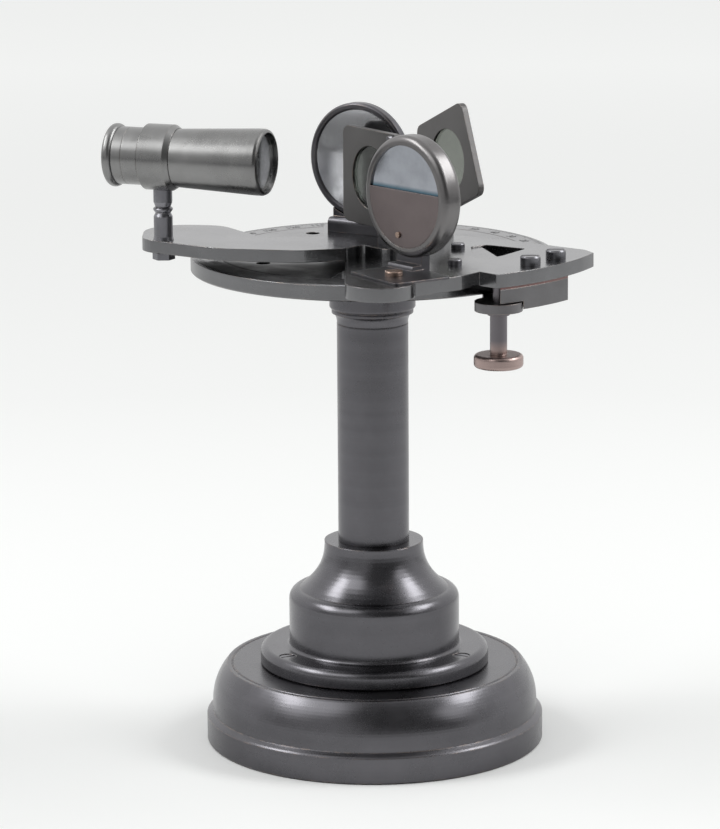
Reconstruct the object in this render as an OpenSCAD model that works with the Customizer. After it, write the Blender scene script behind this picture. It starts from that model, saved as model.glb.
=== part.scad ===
// Small sextant on a turned pedestal.
// The column's axis is the Z axis, the base's underside is Z = 0, and the near side faces -Y.

/* [Pedestal] */
// Diameter of the round base
base_d = 96; // [92:1:104]
// Height of the straight band round the base's foot
plinth_h = 7.8; // [6:0.2:9]
// Height of the base's flat top
base_h = 22.2; // [21:0.2:24]
// Diameter of the flange that is screwed to the base
flange_d = 65; // [63:1:68]
// Thickness of the flange
flange_t = 5.2; // [5:0.2:6]
// Diameter of the bell above the flange
bell_d = 48.4; // [46:0.4:50]
// Height of the bell above the flange
bell_h = 30.4; // [28:0.4:34]
// Diameter of the column
column_d = 20.1; // [18:0.1:21]
// Length of the column between the bell and the collar
column_l = 62.8; // [55:0.1:75]
// Diameter of the collar under the limb disc
collar_d = 24.2; // [23.5:0.1:26]
// Height of the collar
collar_h = 15.55; // [15:0.05:18]

/* [Limb disc and arms] */
// Diameter of the limb disc
disc_d = 101.6; // [100:0.2:103]
// Thickness of the limb disc
disc_t = 4.57; // [4:0.01:5]
// Thickness of the index plate that turns on the disc
plate_t = 3.8; // [3.4:0.1:4.4]
// Thickness of the telescope arm that turns on the index plate
arm_t = 3.45; // [3:0.05:4]
// Diameter of the pivot's shoulder
pivot_d = 8; // [7:0.2:9]
// Outer radius of the index plate's arc end
arc_r = 65.5; // [65:0.1:67]
// Distance from the pivot to the telescope's post
post_r = 60.6; // [60:0.1:62]

/* [Telescope] */
// Height of the telescope's axis above its arm
scope_h = 22.9; // [22:0.1:25]
// Direction of the telescope's axis, in degrees from +X
scope_a = -20; // [-22:1:-18]
// Outer diameter of the tube at the object glass
front_d = 18.2; // [17.8:0.1:18.6]
// Outer diameter of the tube behind the collar
rear_d = 15.8; // [15.6:0.1:16]
// Length of the tube in front of the post
front_l = 30.9; // [28:0.1:33]
// Outer diameter of the ring round the eyepiece
eyepiece_d = 17.4; // [17:0.1:18]

/* [Mirrors and shades] */
// Diameter of the thick horizon mirror
horizon_d = 32.8; // [32:0.2:33.6]
// Thickness of the horizon mirror's frame
horizon_t = 6.5; // [6:0.1:6.8]
// Diameter of the thin index mirror
index_d = 32.1; // [31.5:0.1:32.7]
// Thickness of the index mirror's frame
index_t = 3; // [2.8:0.1:3.4]
// Side of a square shade frame
shade_s = 26.5; // [25.5:0.1:27]
// Thickness of a shade frame
shade_t = 1.7; // [1.4:0.1:1.8]
// Diameter of the clear shade glass
shade_glass_d = 17.6; // [16:0.2:18.4]

/* [Clamp] */
// Height of the clamp block under the index plate
clamp_h = 6.1; // [6:0.1:7]
// Thickness of the clamp's jaw
jaw_t = 2.55; // [2.2:0.05:3]
// Diameter of the thumb screw's head
thumb_d = 13.4; // [12:0.1:14]
// Thickness of the thumb screw's head
thumb_t = 3.6; // [3:0.1:4.4]

/* [Hidden] */
$fn = 96;

// Steps on a quarter turn of a curve, and on a rounded corner of an outline
curve_steps = 12;
corner_steps = 6;
// Overlap of a cutting shape beyond the face that it cuts
eps = 0.5;
// Clearances: a running fit, a seat, and the gap between parts that pass each other
fit = 0.05;
seat = 0.02;
gap = 0.3;

// Heights of the stacked pieces
flange_z = base_h;
bell_z = flange_z + flange_t;
column_z = bell_z + bell_h;
collar_z = column_z + column_l;
disc_z = collar_z + collar_h;
plate_z = disc_z + disc_t;
arm_z = plate_z + plate_t;
top_z = arm_z + arm_t;

// Shares of a cheese head: slot width, edge chamfer and height of the slot's floor
slot_share = 0.32;
edge_share = 0.18;
floor_share = 0.55;

// Base: the felt's recess, the band's step, the dome and the groove on its flat top
felt_margin = 3.5;
felt_d = base_d - 2 * felt_margin;
felt_t = 1;
band_step = 1.7;
band_chamfer = 0.8;
dome_z = plinth_h + 3.5;
dome_drop = 3.8;
dome_edge = 0.4;
groove_in = 7.7;
groove_r = base_d / 2 - groove_in;
groove_w = 0.8;
groove_depth = 0.4;

// Foot: screws, the ogee's shoulder and the socket for the column
foot_screw_r = flange_d / 2 - 4.2;
foot_screw_n = 3;
foot_screw_a = 90;
foot_shank_r = 1.3;
foot_head_r = 2.3;
foot_head_t = 1.5;
foot_screw_l = 9;
foot_head_sink = 0.15;
foot_slot_w = 0.6;
foot_slot_t = 0.5;
flange_edge = 2;
flange_step = 0.5;
bead = 0.9;
shoulder_r = 3.1;
shoulder_z = bell_z + 13.5;
neck_r = 14;
ogee_power = 2.5;
socket_r = 8;
socket_depth = 15;

// Column and collar
tenon_r = 6;
tenon_l = 10;
lip_h = 0.4;
collar_round = 0.6;
collar_waist_r = column_d / 2 - fit;
collar_ledge_r = collar_d / 2 - collar_round;
collar_cove_h = 3;
collar_ledge_z = 4.9;

// Disc: bevel, engraved circle, round holes and sector windows
disc_bevel = 1.2;
disc_bevel_t = 0.35;
circle_in = 7.5;
circle_r = disc_d / 2 - circle_in;
circle_w = 0.5;
circle_depth = 0.25;
disc_hole_r = 34.5;
disc_hole_d = 4;
disc_hole_a = 29.5;
window_in_r = 30;
window_out_r = 42;
window_half_a = 16;
window_corner_r = 1.5;
window_n = 4;

// Pivot: a shoulder screw whose thread goes down through the disc into the collar
pivot_thread_r = pivot_d / 2 - 1;
pivot_thread_l = 9;
pivot_washer_r = pivot_d / 2 + 3.4;
pivot_washer_t = 0.5;
pivot_head_r = pivot_d / 2 + 2.4;
pivot_head_t = 1.2;
hub_r = 13;

// Point at radius r and angle a, with a corner radius k for the outlines below
function polar(r, a, k = 0) = [r * cos(a), r * sin(a), k];

// Index plate: lobe under the horizon mirror, arc end, and a window with a shallow recess beside it
lobe_c = [2, -66.5];
lobe_r = 9.3;
arc_over = 5;
plate_left_x = lobe_c[0] - lobe_r;
plate_inner = [
    [plate_left_x, 0, 0], [plate_left_x, lobe_c[1], 0], [11.3, -67, 0], [23.5, -58.3, 3],
    [28.6, -52.2, 2.5], [33, -45, 0], [24, -8, 0], [0, hub_r, 0]
];
plate_outer = [
    [20, -45, 0], [28.6, -52.2, 2.5], polar(arc_r + arc_over, -58.7), polar(arc_r + 4 * arc_over, -32.5),
    polar(arc_r + 2, -24.06), polar(arc_r - 3.7, -19.08, 2.5), [38, -4.6, 8], [14, 9, 6],
    [0, hub_r, 0], [0, 0, 0]
];
plate_window = [[27.4, -35.6, 2.4], [35.2, -29, 7], [42.4, -18, 1.2], [31.8, -11.6, 2], [27.2, -14.6, 2]];
plate_recess = 0.35;
recess_end = [30.2, -12.8];
recess_end_a = -75.9;

// Small screws on the index plate
plate_screw_at = [[23.65, -16.9], [22.3, -41.3]];
plate_screw_r = 1.9;
plate_screw_h = 1.5;
plate_shank_r = 1;

// Clamp: block, felt, jaw and screws
clamp_felt_t = 0.5;
clamp_free = 0.8;
clamp_in_r = disc_d / 2 + clamp_free;
clamp_left_x = 34;
clamp_right_x = arc_r * cos(36.14);
clamp_low_y = -58;
clamp_high_y = -28;
clamp_z = plate_z - clamp_felt_t - clamp_h;
clamp_screw_in = 6;
clamp_screw_at = [polar(arc_r - clamp_screw_in, -44.3), polar(arc_r - clamp_screw_in, -33.1)];
clamp_screw_r = 2.75;
clamp_screw_h = 2.4;
clamp_shank_r = 1.25;
clamp_shank_l = 5;
thumb_in = 5.4;
thumb_at = polar(arc_r - thumb_in, -55.78);
thumb_shank_r = 2.32;
thumb_collar_r = 3;
thumb_collar_t = 1.2;
thumb_l = 11.9;
thumb_thread_r = 1.6;
thumb_thread_l = 2.6;
thumb_edge = 1;
jaw_gap = 0.1;
jaw_top = disc_z - jaw_gap;
jaw_lobe_r = 6.5;
jaw_tongue_w = 8;
jaw_reach = 14.7;

// Horizon mirror: foot plate with a neck, frame, half glass and half panel
horizon_c = [8.5, -50];
horizon_a = -49;
horizon_h = 19.9;
horizon_z = arm_z + horizon_h;
horizon_edge = 1.8;
horizon_lip = 2.6;
horizon_lip_r = horizon_d / 2 - horizon_lip;
horizon_sink = 1.3;
horizon_glass_t = 0.7;
horizon_line = 1.6;
horizon_pin_at = [-2.2, -10.5];
horizon_pin_r = 0.8;
horizon_pin_h = 0.5;
foot_c = [7.3, -58];
foot_a = -57;
foot_l = 22;
foot_w = 17.6;
foot_t = 0.6;
foot_corner_r = 1;
neck_w = 10;
neck_h = 5;
neck_round = 0.8;
horizon_ledge = 1.5;
horizon_ledge_h = 1.9;
horizon_ledge_round = 0.9;
brass_at = [5.7, -60];
brass_r = 2.4;
brass_h = 1.3;
brass_shank_r = 1.1;

// Telescope arm outline, taken clockwise from its outer lobe
arm_outline = [
    [-63.4, 5.2, 11], [-63.4, -19, 8], [-41, -34.2, 18], [-19.5, -38, 8], [-6.8, -34.8, 2.5],
    [-2.8, -29.6, 1.6], [4.8, -38.4, 3], [13, -30, 6], [20, -10, 8], [22.9, 3, 2.5], [21.5, 11.5, 3],
    [4, 13, 9], [-13.5, 5, 6], [-13.5, -16.5, 3], [-30, -17.6, 6], [-42, 2.5, 9]
];

// Telescope: distances along its axis from the post, forwards positive
post_a = 199.2;
post_at = post_r * [cos(post_a), sin(post_a)];
scope_z = top_z + scope_h;
collar_front = 3.5;
collar_back = -4.3;
collar_chamfer = 1.4;
collar_bevel = 0.3;
collar_r = 9.05;
sleeve_back = -9.2;
taper_start = 5;
taper_end = 28;
tube_swell = 0.1;
tube_waist_r = rear_d / 2 + tube_swell;
tube_lip = 1;
bore_r = 7;
draw_wall = 0.9;
draw_front = 9;
glass_rim = 1.1;
glass_seat_r = front_d / 2 - glass_rim;
glass_t = 1.5;
glass_sink = 0.9;
glass_bulge = 0.6;
glass_seat_l = glass_sink + glass_bulge + glass_t;
ring_back = -14.8;
ring_front = -12.1;
ring_round = 1.2;
eye_r = 6.2;
eye_edge = 0.2;
eye_lip = 1.2;
eye_sink = 0.8;
eye_t = 1.4;
focus_travel = 6;

// Telescope post: turned beads between the arm and the collar
post_foot_r = 2.85;
post_low_r = 2.6;
post_neck_r = 2.1;
post_bead_r = 2.75;
post_top_r = 2.6;
post_neck_h = 7.6;
post_bead_h = 9;
post_cone = 1;
post_edge = 0.2;
post_thread_r = 1.5;
nut_r = 3.1;
nut_t = 1.9;
nut_sides = 6;

// Index mirror: frame, glass and the block that it stands in
index_c = [-3.85, -10];
index_a = -34;
index_h = 20;
index_z = top_z + index_h;
index_lip = 2;
index_sink = 0.6;
index_glass_t = 1.3;
index_foot_w = 16.6;
index_foot_back = 5.7;
index_foot_h = 6.3;
index_foot_round = 1.2;
index_ledge = 2.8;
index_ledge_h = 3.9;
index_ledge_round = 1.5;
index_edge = 0.5;

// Shades: centre of the upright plate's face, direction of its face, pivot corner and turn about it
shade_corner_r = 2.5;
shade_glass_t = 0.9;
shade_seat = 0.6;
ear_inset = 2.4;
ear_pin_r = 0.9;
shade_post_w = 3.6;
shade_post_t = 1.6;
shade_screw_r = 1.7;
shade_screw_h = 0.9;
shade_pin_inset = [3, 1];
shade_pin_r = 0.65;
shade_pin_l = 1.6;
front_c = [-0.24, -24.05];
front_a = -55;
front_h = 17.4;
front_z = top_z + front_h;
front_ear = [shade_s / 2 - ear_inset, ear_inset - shade_s / 2];
rear_c = [23.7, -3.6];
rear_a = -60;
rear_h = 14.9;
rear_z = top_z + rear_h;
rear_ear = [ear_inset - shade_s / 2, ear_inset - shade_s / 2];
rear_turn = 23;

// Unit vector of a vector
function unit(v) = v / norm(v);

// Points of the arc that rounds corner b, between a and c; each point is [x, y, radius]
function corner(a, b, c) =
    let (
        p = [b[0], b[1]],
        u = unit([a[0], a[1]] - p),
        v = unit([c[0], c[1]] - p),
        half = acos(u * v) / 2,
        centre = p + unit(u + v) * b[2] / sin(half),
        first = p + u * b[2] / tan(half) - centre,
        start = atan2(first[1], first[0]),
        sweep = -sign(cross(u, v)) * (180 - 2 * half)
    )
    b[2] == 0 ? [p] : [
        for (i = [0:corner_steps])
            centre + b[2] * [cos(start + sweep * i / corner_steps), sin(start + sweep * i / corner_steps)]
    ];

// Closed outline through points [x, y, corner radius]
function rounded(pts) = [
    for (i = [0:len(pts) - 1])
        each corner(pts[(i + len(pts) - 1) % len(pts)], pts[i], pts[(i + 1) % len(pts)])
];

// Quarter-ellipse points from angle a0 to angle a1 about a centre
function ellipse_arc(centre, rx, ry, a0, a1) = [
    for (i = [0:curve_steps])
        let (a = a0 + (a1 - a0) * i / curve_steps)
        centre + [rx * cos(a), ry * sin(a)]
];

// Outline of a rectangle with rounded corners, centred on the origin
module rounded_square(w, h, r) {
    x = w / 2;
    y = h / 2;
    polygon(rounded([[-x, -y, r], [x, -y, r], [x, y, r], [-x, y, r]]));
}

// Places things on an upright face: X along the face, Y up, Z out of the face
module on_face(c, z, a) {
    translate([c[0], c[1], z]) rotate([90, 0, a]) children();
}

// Places things on the telescope's axis: Z forwards, measured from the post
module on_scope() {
    translate([post_at[0], post_at[1], scope_z]) rotate([0, 90, scope_a]) children();
}

// A slotted cheese-head screw standing on Z = 0, with its shank below
module cheese_screw(head_r, head_h, shank_r, shank_l) {
    slot_w = head_r * slot_share;
    edge = head_h * edge_share;
    difference() {
        union() {
            cylinder(r = head_r, h = head_h - edge);
            translate([0, 0, head_h - edge]) cylinder(r1 = head_r, r2 = head_r - edge, h = edge);
        }
        translate([-head_r - eps, -slot_w / 2, head_h * floor_share])
            cube([2 * (head_r + eps), slot_w, head_h]);
    }
    translate([0, 0, -shank_l]) cylinder(r = shank_r, h = shank_l);
}

// Turned base with a band, a domed shoulder and a grooved flat top
module base() {
    r = base_d / 2;
    dome_r = r - band_step;
    dome_h = base_h - dome_edge - dome_z;
    arc_radius = (dome_h * dome_h + dome_drop * dome_drop) / (2 * dome_drop);
    dome = [
        for (i = [0:curve_steps])
            let (h = dome_h * i / curve_steps)
            [dome_r - arc_radius + sqrt(arc_radius * arc_radius - h * h), dome_z + h]
    ];
    color("dimgray") difference() {
        rotate_extrude() polygon(concat(
            [[0, felt_t], [felt_d / 2, felt_t], [felt_d / 2, 0], [r - dome_edge, 0], [r, dome_edge]],
            [[r, plinth_h - dome_edge], [r - dome_edge, plinth_h], [dome_r, plinth_h + band_chamfer]],
            dome,
            [[dome_r - dome_drop - dome_edge, base_h]],
            [[groove_r + groove_w, base_h], [groove_r + groove_w / 2, base_h - groove_depth]],
            [[groove_r, base_h], [0, base_h]]
        ));
        foot_screw_places() translate([0, 0, base_h - foot_screw_l])
            cylinder(r = foot_shank_r + seat, h = foot_screw_l + eps);
    }
}

module base_felt() {
    color("darkgreen") cylinder(d = felt_d - 2 * seat, h = felt_t);
}

// The three screw places on the flange
module foot_screw_places() {
    for (i = [0:foot_screw_n - 1])
        rotate(foot_screw_a + i * 360 / foot_screw_n) translate([foot_screw_r, 0, 0]) children();
}

// Flange and bell, turned in one piece, with a socket for the column
module column_foot() {
    r = flange_d / 2;
    bell_r = bell_d / 2;
    cove_r = bell_r - shoulder_r;
    cove_z = shoulder_z + shoulder_r;
    cove_h = column_z - cove_z;
    cove = [
        for (i = [curve_steps:-1:0])
            let (t = i / curve_steps)
            [neck_r + (cove_r - neck_r) * pow(t, ogee_power), column_z - cove_h * t]
    ];
    head_z = bell_z - foot_head_sink;
    color("dimgray") difference() {
        rotate_extrude() polygon(concat(
            [[0, flange_z], [r - flange_step, flange_z], [r, flange_z + flange_step]],
            ellipse_arc([r - flange_edge, bell_z - flange_edge], flange_edge, flange_edge, 0, 90),
            ellipse_arc([bell_r + bead, bell_z + bead], bead, bead, 270, 180),
            ellipse_arc([cove_r, shoulder_z], shoulder_r, shoulder_r, 0, 90),
            cove,
            [[neck_r - lip_h, column_z], [0, column_z]]
        ));
        translate([0, 0, column_z - socket_depth]) cylinder(r = socket_r + fit, h = socket_depth + eps);
        foot_screw_places() {
            translate([0, 0, flange_z - eps]) cylinder(r = foot_shank_r + seat, h = flange_t + 2 * eps);
            translate([0, 0, head_z - foot_head_t])
                cylinder(r1 = foot_shank_r + seat, r2 = foot_head_r + seat, h = foot_head_t);
            translate([0, 0, head_z]) cylinder(r = foot_head_r + seat, h = foot_head_sink + eps);
        }
    }
}

module foot_screws() {
    head_z = bell_z - foot_head_sink;
    color("gray") foot_screw_places() difference() {
        union() {
            translate([0, 0, head_z - foot_screw_l]) cylinder(r = foot_shank_r, h = foot_screw_l);
            translate([0, 0, head_z - foot_head_t])
                cylinder(r1 = foot_shank_r, r2 = foot_head_r, h = foot_head_t);
        }
        translate([-foot_head_r - eps, -foot_slot_w / 2, head_z - foot_slot_t])
            cube([2 * (foot_head_r + eps), foot_slot_w, foot_slot_t + eps]);
    }
}

module column() {
    color("dimgray") difference() {
        union() {
            translate([0, 0, column_z]) cylinder(d = column_d, h = column_l);
            translate([0, 0, column_z - socket_depth + gap]) cylinder(r = socket_r, h = socket_depth);
        }
        translate([0, 0, collar_z - tenon_l - gap]) cylinder(r = tenon_r + fit, h = tenon_l + gap + eps);
    }
}

// Collar that carries the disc, with a tenon in the column and a thread for the pivot
module column_collar() {
    r = collar_d / 2;
    color("dimgray") difference() {
        union() {
            rotate_extrude() polygon(concat(
                [[0, collar_z], [collar_waist_r, collar_z]],
                ellipse_arc([collar_ledge_r, collar_z], collar_ledge_r - collar_waist_r,
                    collar_cove_h, 180, 90),
                [[collar_ledge_r, collar_z + collar_ledge_z - 2 * collar_round]],
                [[collar_ledge_r - collar_round / 2, collar_z + collar_ledge_z - collar_round]],
                [[r - collar_round, collar_z + collar_ledge_z - collar_round]],
                ellipse_arc([r - collar_round, collar_z + collar_ledge_z], collar_round,
                    collar_round, 270, 360),
                [[r, disc_z], [0, disc_z]]
            ));
            translate([0, 0, collar_z - tenon_l]) cylinder(r = tenon_r, h = tenon_l);
        }
        translate([0, 0, disc_z - pivot_thread_l])
            cylinder(r = pivot_thread_r + seat, h = pivot_thread_l + eps);
    }
}

// Outline of one sector window
module sector_window() {
    arc_n = curve_steps;
    outer = [
        for (i = [0:arc_n])
            let (a = -window_half_a + 2 * window_half_a * i / arc_n)
            [window_out_r * cos(a), window_out_r * sin(a), i == 0 || i == arc_n ? window_corner_r : 0]
    ];
    inner = [
        for (i = [0:arc_n])
            let (a = window_half_a - 2 * window_half_a * i / arc_n)
            [window_in_r * cos(a), window_in_r * sin(a), i == 0 || i == arc_n ? window_corner_r : 0]
    ];
    polygon(rounded(concat(outer, inner)));
}

// Limb disc with its bevelled rim, engraved circle, round holes and windows
module limb_disc() {
    r = disc_d / 2;
    top = disc_z + disc_t;
    color("silver") difference() {
        rotate_extrude() polygon([
            [0, disc_z], [r - disc_bevel_t, disc_z], [r, disc_z + disc_bevel_t],
            [r, top - disc_bevel_t], [r - disc_bevel, top],
            [circle_r + circle_w / 2, top], [circle_r, top - circle_depth],
            [circle_r - circle_w / 2, top], [0, top]
        ]);
        translate([0, 0, disc_z - eps]) {
            cylinder(r = pivot_thread_r + seat, h = disc_t + 2 * eps);
            for (i = [0:window_n - 1])
                rotate(i * 360 / window_n) {
                    linear_extrude(disc_t + 2 * eps) sector_window();
                    rotate(disc_hole_a) translate([disc_hole_r, 0, 0])
                        cylinder(d = disc_hole_d, h = disc_t + 2 * eps);
                }
        }
    }
}

module pivot_screw() {
    head_z = top_z + pivot_washer_t + 2 * seat;
    color("gray") {
        difference() {
            union() {
                translate([0, 0, disc_z - pivot_thread_l])
                    cylinder(r = pivot_thread_r, h = pivot_thread_l + disc_t);
                translate([0, 0, plate_z]) cylinder(d = pivot_d, h = head_z - plate_z);
                translate([0, 0, head_z]) cylinder(r = pivot_head_r, h = pivot_head_t);
            }
            translate([-pivot_head_r - eps, -foot_slot_w, head_z + pivot_head_t / 2])
                cube([2 * (pivot_head_r + eps), 2 * foot_slot_w, pivot_head_t]);
        }
    }
}

module pivot_washer() {
    color("gainsboro") translate([0, 0, top_z + seat]) difference() {
        cylinder(r = pivot_washer_r, h = pivot_washer_t);
        translate([0, 0, -eps]) cylinder(d = pivot_d + 2 * seat, h = pivot_washer_t + 2 * eps);
    }
}

// Index plate: hub, lobe under the horizon mirror, and arc end over the clamp; the recess ends in the window
module index_plate() {
    color("silver") difference() {
        translate([0, 0, plate_z]) linear_extrude(plate_t) {
            circle(r = hub_r);
            translate(lobe_c) circle(r = lobe_r);
            polygon(rounded(plate_inner));
            intersection() {
                circle(r = arc_r, $fn = 240);
                polygon(rounded(plate_outer));
            }
        }
        translate([0, 0, arm_z - plate_recess]) linear_extrude(plate_recess + eps)
            polygon(rounded(plate_window));
        translate([0, 0, plate_z - eps]) linear_extrude(plate_t + 2 * eps) intersection() {
            polygon(rounded(plate_window));
            translate(recess_end) rotate(recess_end_a) translate([-hub_r, 0])
                square([arc_r, arc_r]);
        }
        translate([0, 0, plate_z - eps]) {
            cylinder(d = pivot_d + 2 * fit, h = plate_t + 2 * eps);
            for (p = clamp_screw_at)
                translate(p) cylinder(r = clamp_shank_r + seat, h = plate_t + 2 * eps);
            translate(thumb_at) cylinder(r = thumb_thread_r + fit, h = eps + thumb_thread_l + gap);
        }
        for (p = plate_screw_at)
            translate([p[0], p[1], arm_z - plate_t + gap]) cylinder(r = plate_shank_r + seat, h = plate_t);
        translate([brass_at[0], brass_at[1], arm_z - plate_t + gap])
            cylinder(r = brass_shank_r + seat, h = plate_t);
    }
}

module plate_screws() {
    color("gray") for (p = plate_screw_at)
        translate([p[0], p[1], arm_z])
            cheese_screw(plate_screw_r, plate_screw_h, plate_shank_r, plate_t - 2 * gap);
}

// Outline of the clamp block, between the disc's rim and the plate's outer arc
module clamp_outline() {
    difference() {
        intersection() {
            circle(r = arc_r, $fn = 240);
            translate([clamp_left_x, clamp_low_y])
                square([clamp_right_x - clamp_left_x, clamp_high_y - clamp_low_y]);
        }
        circle(r = clamp_in_r, $fn = 240);
        translate(thumb_at) circle(r = thumb_collar_r);
    }
}

// Outline of the jaw, which reaches in under the disc's rim
module jaw_outline(grow) {
    half = jaw_tongue_w / 2 + grow;
    translate(thumb_at) union() {
        circle(r = jaw_lobe_r + grow);
        translate([-half, 0]) square([2 * half, jaw_reach + grow]);
    }
}

module clamp_block() {
    color("dimgray") difference() {
        translate([0, 0, clamp_z]) linear_extrude(clamp_h) clamp_outline();
        translate([0, 0, clamp_z - eps])
            linear_extrude(jaw_top + gap - clamp_z + eps) jaw_outline(gap);
        for (p = clamp_screw_at)
            translate([p[0], p[1], clamp_z + clamp_h - clamp_shank_l + clamp_felt_t - gap])
                cylinder(r = clamp_shank_r + seat, h = clamp_shank_l + eps);
    }
}

module clamp_felt() {
    color("indianred") translate([0, 0, plate_z - clamp_felt_t]) linear_extrude(clamp_felt_t) difference() {
        clamp_outline();
        for (p = clamp_screw_at)
            translate(p) circle(r = clamp_shank_r + seat);
    }
}

module clamp_screws() {
    color("gray") for (p = clamp_screw_at)
        translate([p[0], p[1], arm_z])
            cheese_screw(clamp_screw_r, clamp_screw_h, clamp_shank_r, plate_t + clamp_shank_l);
}

module clamp_jaw() {
    color("dimgray") difference() {
        translate([0, 0, jaw_top - jaw_t]) linear_extrude(jaw_t) jaw_outline(0);
        translate([thumb_at[0], thumb_at[1], jaw_top - jaw_t - eps])
            cylinder(r = thumb_thread_r + fit, h = jaw_t + 2 * eps);
    }
}

// Thumb screw: its collar presses the jaw up and its thread enters the index plate
module thumb_screw() {
    low = jaw_top - jaw_t;
    head_z = low - thumb_l - thumb_t;
    r = thumb_d / 2;
    color("rosybrown") translate([thumb_at[0], thumb_at[1], 0]) {
        rotate_extrude() polygon(concat(
            [[0, head_z]],
            ellipse_arc([r - thumb_edge, head_z + thumb_edge], thumb_edge, thumb_edge, 270, 360),
            ellipse_arc([r - thumb_edge, head_z + thumb_t - thumb_edge], thumb_edge, thumb_edge, 0, 90),
            [[thumb_shank_r, head_z + thumb_t], [thumb_shank_r, low - thumb_collar_t]],
            [[thumb_collar_r, low - thumb_collar_t], [thumb_collar_r, low]],
            [[thumb_thread_r, low], [thumb_thread_r, plate_z + thumb_thread_l], [0, plate_z + thumb_thread_l]]
        ));
    }
}

// Foot of the horizon mirror: a thin plate, a neck that cradles the frame and a ledge before it
module horizon_foot() {
    neck_back = horizon_t - horizon_edge;
    color("gray") difference() {
        union() {
            translate([foot_c[0], foot_c[1], arm_z]) rotate(foot_a)
                linear_extrude(foot_t) rounded_square(foot_l, foot_w, foot_corner_r);
            translate([horizon_c[0], horizon_c[1], arm_z]) rotate(horizon_a)
                translate([-neck_w / 2, 0, 0]) rotate([90, 0, 90])
                    linear_extrude(neck_w) polygon(rounded([
                        [-horizon_ledge, 0, 0], [neck_back, 0, 0], [neck_back, neck_h, neck_round],
                        [horizon_edge, neck_h, 0], [horizon_edge, horizon_ledge_h, 0],
                        [-horizon_ledge, horizon_ledge_h, horizon_ledge_round]
                    ]));
        }
        on_face(horizon_c, horizon_z, horizon_a)
            translate([0, 0, -horizon_t - eps])
                cylinder(d = horizon_d + 2 * seat, h = horizon_t + 2 * eps);
        translate([brass_at[0], brass_at[1], arm_z - eps])
            cylinder(r = brass_shank_r + seat, h = foot_t + 2 * eps);
    }
}

module horizon_foot_screw() {
    color("goldenrod") translate([brass_at[0], brass_at[1], arm_z + foot_t])
        cheese_screw(brass_r, brass_h, brass_shank_r, foot_t + plate_t - 2 * gap);
}

// Thick horizon frame with rounded edges and a round recess for the glass and the panel
module horizon_frame() {
    r = horizon_d / 2;
    color("dimgray") on_face(horizon_c, horizon_z, horizon_a) difference() {
        rotate_extrude() polygon(concat(
            [[0, -horizon_t]],
            ellipse_arc([r - horizon_edge, -horizon_t + horizon_edge], horizon_edge, horizon_edge, 270, 360),
            ellipse_arc([r - horizon_edge, -horizon_edge], horizon_edge, horizon_edge, 0, 90),
            [[0, 0]]
        ));
        translate([0, 0, -horizon_sink]) cylinder(r = horizon_lip_r, h = horizon_sink + eps);
        translate([horizon_pin_at[0], horizon_pin_at[1], -2 * horizon_sink])
            cylinder(r = horizon_pin_r + seat, h = 2 * horizon_sink);
    }
}

// Part of the horizon recess above (side = 1) or below (side = -1) the dividing line
module horizon_half(side, depth) {
    intersection() {
        cylinder(r = horizon_lip_r - seat, h = depth);
        translate([-horizon_d / 2, side > 0 ? horizon_line : horizon_line - horizon_d, -eps])
            cube([horizon_d, horizon_d, depth + 2 * eps]);
    }
}

module horizon_glass() {
    color("lightsteelblue") on_face(horizon_c, horizon_z, horizon_a)
        translate([0, 0, -horizon_sink]) horizon_half(1, horizon_glass_t);
}

module horizon_panel() {
    color("rosybrown") on_face(horizon_c, horizon_z, horizon_a) difference() {
        translate([0, 0, -horizon_sink]) horizon_half(-1, horizon_sink);
        translate([horizon_pin_at[0], horizon_pin_at[1], -horizon_sink - eps])
            cylinder(r = horizon_pin_r + seat, h = horizon_sink + 2 * eps);
    }
}

module horizon_pin() {
    color("gainsboro") on_face(horizon_c, horizon_z, horizon_a)
        translate([horizon_pin_at[0], horizon_pin_at[1], -2 * horizon_sink])
            cylinder(r = horizon_pin_r, h = 2 * horizon_sink + horizon_pin_h);
}

// Telescope arm: outer lobe under the telescope, waist, and hub under the index mirror
module telescope_arm() {
    color("silver") difference() {
        translate([0, 0, arm_z]) linear_extrude(arm_t) polygon(rounded(arm_outline));
        translate([0, 0, arm_z - eps]) {
            cylinder(d = pivot_d + 2 * fit, h = arm_t + 2 * eps);
            translate(post_at) cylinder(r = post_thread_r + seat, h = arm_t + 2 * eps);
        }
    }
}

module telescope_post() {
    top = scope_z - collar_r;
    bead_z = top_z + post_bead_h - 2 * post_edge;
    color("gray") translate([post_at[0], post_at[1], 0]) difference() {
        union() {
            rotate_extrude() polygon([
                [0, top_z], [post_foot_r, top_z], [post_low_r, top_z + post_cone],
                [post_low_r, top_z + post_neck_h - post_cone], [post_neck_r, top_z + post_neck_h],
                [post_bead_r - post_edge, bead_z - 2 * post_edge], [post_bead_r, bead_z],
                [post_bead_r - post_edge, bead_z + 2 * post_edge], [post_neck_r, bead_z + 3 * post_edge],
                [post_top_r, bead_z + 2 * post_cone], [post_top_r, top + post_cone], [0, top + post_cone]
            ]);
            translate([0, 0, arm_z - nut_t]) cylinder(r = post_thread_r, h = arm_t + nut_t);
        }
        translate([0, 0, scope_z]) rotate([0, 90, scope_a])
            cylinder(r = collar_r, h = 4 * post_foot_r, center = true);
    }
}

module post_nut() {
    color("gray") translate([post_at[0], post_at[1], arm_z - nut_t]) difference() {
        cylinder(r = nut_r, h = nut_t, $fn = nut_sides);
        translate([0, 0, -eps]) cylinder(r = post_thread_r + seat, h = nut_t + 2 * eps);
    }
}

module telescope_collar() {
    color("dimgray") on_scope() rotate_extrude() polygon([
        [rear_d / 2 + seat, collar_back], [collar_r - collar_bevel, collar_back],
        [collar_r, collar_back + collar_bevel], [collar_r, collar_front],
        [tube_waist_r + tube_swell, collar_front + collar_chamfer],
        [rear_d / 2 + seat, collar_front + collar_chamfer]
    ]);
}

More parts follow.
